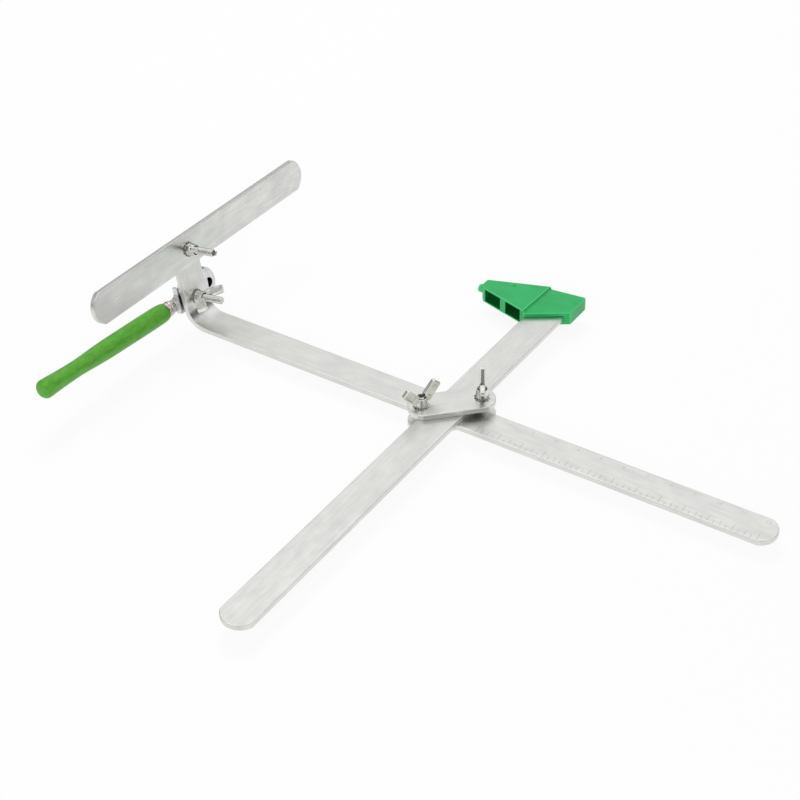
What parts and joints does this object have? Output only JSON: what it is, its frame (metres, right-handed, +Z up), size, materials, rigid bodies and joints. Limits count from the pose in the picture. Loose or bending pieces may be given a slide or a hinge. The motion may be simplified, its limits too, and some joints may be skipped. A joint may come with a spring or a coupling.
{
  "type": "glass bottle cutter",
  "caption": "Flat-arm glass bottle cutter with crossed aluminium arms, wing-nut clamp, bent-up tab with rest bar and wheel scorer, and a green corner guide.",
  "frame": {"origin": "middle of the footprint, level with the undersides of the two clamp bolt heads that it stands on", "axes": "+X along the ruler arm towards its scale end, +Y along the cross arm towards the corner guide, +Z up"},
  "size_m": [0.3531, 0.304, 0.0605],
  "materials": {
    "aluminium_bar": "satin, drawn along the bar",
    "zinc_bolt": "bright zinc plate",
    "spring_steel": "zinc plated, slightly dull",
    "nickel_wing_nut": "bright nickel plate, faintly yellow",
    "cutter_steel": "nickel plated casting",
    "wheel_steel": "hardened and ground",
    "ferrule_metal": "pressed metal, warm nickel tone",
    "painted_wood": "green gloss paint over turned wood",
    "green_plastic": "moulded, satin"
  },
  "bodies": {
    "ruler": {"ruler_arm": "aluminium_bar", "rest_bolt": "zinc_bolt", "cutter_bolt": "zinc_bolt", "cutter_spacer": "spring_steel"},
    "clamp": {"clamp_top_plate": "aluminium_bar", "clamp_bottom_plate": "aluminium_bar", "clamp_bolt_left": "zinc_bolt", "clamp_bolt_right": "zinc_bolt"},
    "cross_arm": {"cross_arm": "aluminium_bar"},
    "corner_guide": {"corner_guide": "green_plastic"},
    "rest_bar": {"rest_bar": "aluminium_bar"},
    "cutter": {"cutter_head": "cutter_steel", "wheel_pin": "wheel_steel", "ferrule": "ferrule_metal", "handle": "painted_wood"},
    "scoring_wheel": {"scoring_wheel": "wheel_steel"},
    "clamp_washer_left": {"clamp_washer_left": "spring_steel"},
    "clamp_wing_nut_left": {"clamp_wing_nut_left": "nickel_wing_nut"},
    "clamp_washer_right": {"clamp_washer_right": "spring_steel"},
    "clamp_wing_nut_right": {"clamp_wing_nut_right": "nickel_wing_nut"},
    "rest_washer": {"rest_washer": "spring_steel"},
    "rest_wing_nut": {"rest_wing_nut": "nickel_wing_nut"},
    "cutter_washer": {"cutter_washer": "spring_steel"},
    "cutter_wing_nut": {"cutter_wing_nut": "nickel_wing_nut"}
  },
  "joints": [
    {"name": "clamp_slide", "type": "slide", "parent": "ruler", "child": "clamp", "axis": [1, 0, 0], "range_m": [-0.112, 0.145]},
    {"name": "cross_arm_slide", "type": "slide", "parent": "clamp", "child": "cross_arm", "axis": [0, 1, 0], "range_m": [-0.065, 0.15]},
    {"name": "guide_slide", "type": "slide", "parent": "cross_arm", "child": "corner_guide", "axis": [0, 1, 0], "range_m": [0, 0.03]},
    {"name": "rest_bar_hinge", "type": "hinge", "parent": "ruler", "child": "rest_bar", "pos_m": [-0.17001, 0.034, 0.04947], "axis": [0.9823, 0, 0.1874], "range_deg": [-50, 50]},
    {"name": "cutter_hinge", "type": "hinge", "parent": "ruler", "child": "cutter", "pos_m": [-0.17002, 0.034, 0.01964], "axis": [0.9823, 0, 0.1874], "range_deg": [-35, 35]},
    {"name": "wheel_spin", "type": "hinge", "parent": "cutter", "child": "scoring_wheel", "pos_m": [-0.16875, 0.0491, 0.01299], "axis": [0.9823, 0, 0.1874], "continuous": true},
    {"name": "clamp_washer_left_slide", "type": "slide", "parent": "clamp", "child": "clamp_washer_left", "axis": [0, 0, 1], "range_m": [0, 0.0028]},
    {"name": "clamp_wing_nut_left_turn", "type": "hinge", "parent": "clamp_washer_left", "child": "clamp_wing_nut_left", "pos_m": [-0.01292, 0.02283, 0.0156], "axis": [0, 0, 1], "range_deg": [0, 1441]},
    {"name": "clamp_washer_right_slide", "type": "slide", "parent": "clamp", "child": "clamp_washer_right", "axis": [0, 0, 1], "range_m": [0, 0.0028]},
    {"name": "clamp_wing_nut_right_turn", "type": "hinge", "parent": "clamp_washer_right", "child": "clamp_wing_nut_right", "pos_m": [0.00942, 0.04517, 0.0156], "axis": [0, 0, 1], "range_deg": [0, 1441]},
    {"name": "rest_washer_slide", "type": "slide", "parent": "ruler", "child": "rest_washer", "axis": [0.9823, 0, 0.1874], "range_m": [0, 0.0028]},
    {"name": "rest_wing_nut_turn", "type": "hinge", "parent": "rest_washer", "child": "rest_wing_nut", "pos_m": [-0.16627, 0.034, 0.05018], "axis": [0.9823, 0, 0.1874], "range_deg": [0, 1441]},
    {"name": "cutter_washer_slide", "type": "slide", "parent": "ruler", "child": "cutter_washer", "axis": [0.9823, 0, 0.1874], "range_m": [0, 0.0028]},
    {"name": "cutter_wing_nut_turn", "type": "hinge", "parent": "cutter_washer", "child": "cutter_wing_nut", "pos_m": [-0.16373, 0.034, 0.02084], "axis": [0.9823, 0, 0.1874], "range_deg": [0, 1441]}
  ],
  "couplings": [
    {"joint": "clamp_wing_nut_left_turn", "follows": "clamp_washer_left_slide", "rad_per_m": 8976},
    {"joint": "clamp_wing_nut_right_turn", "follows": "clamp_washer_right_slide", "rad_per_m": 8976},
    {"joint": "rest_wing_nut_turn", "follows": "rest_washer_slide", "rad_per_m": 8976},
    {"joint": "cutter_wing_nut_turn", "follows": "cutter_washer_slide", "rad_per_m": 8976}
  ]
}
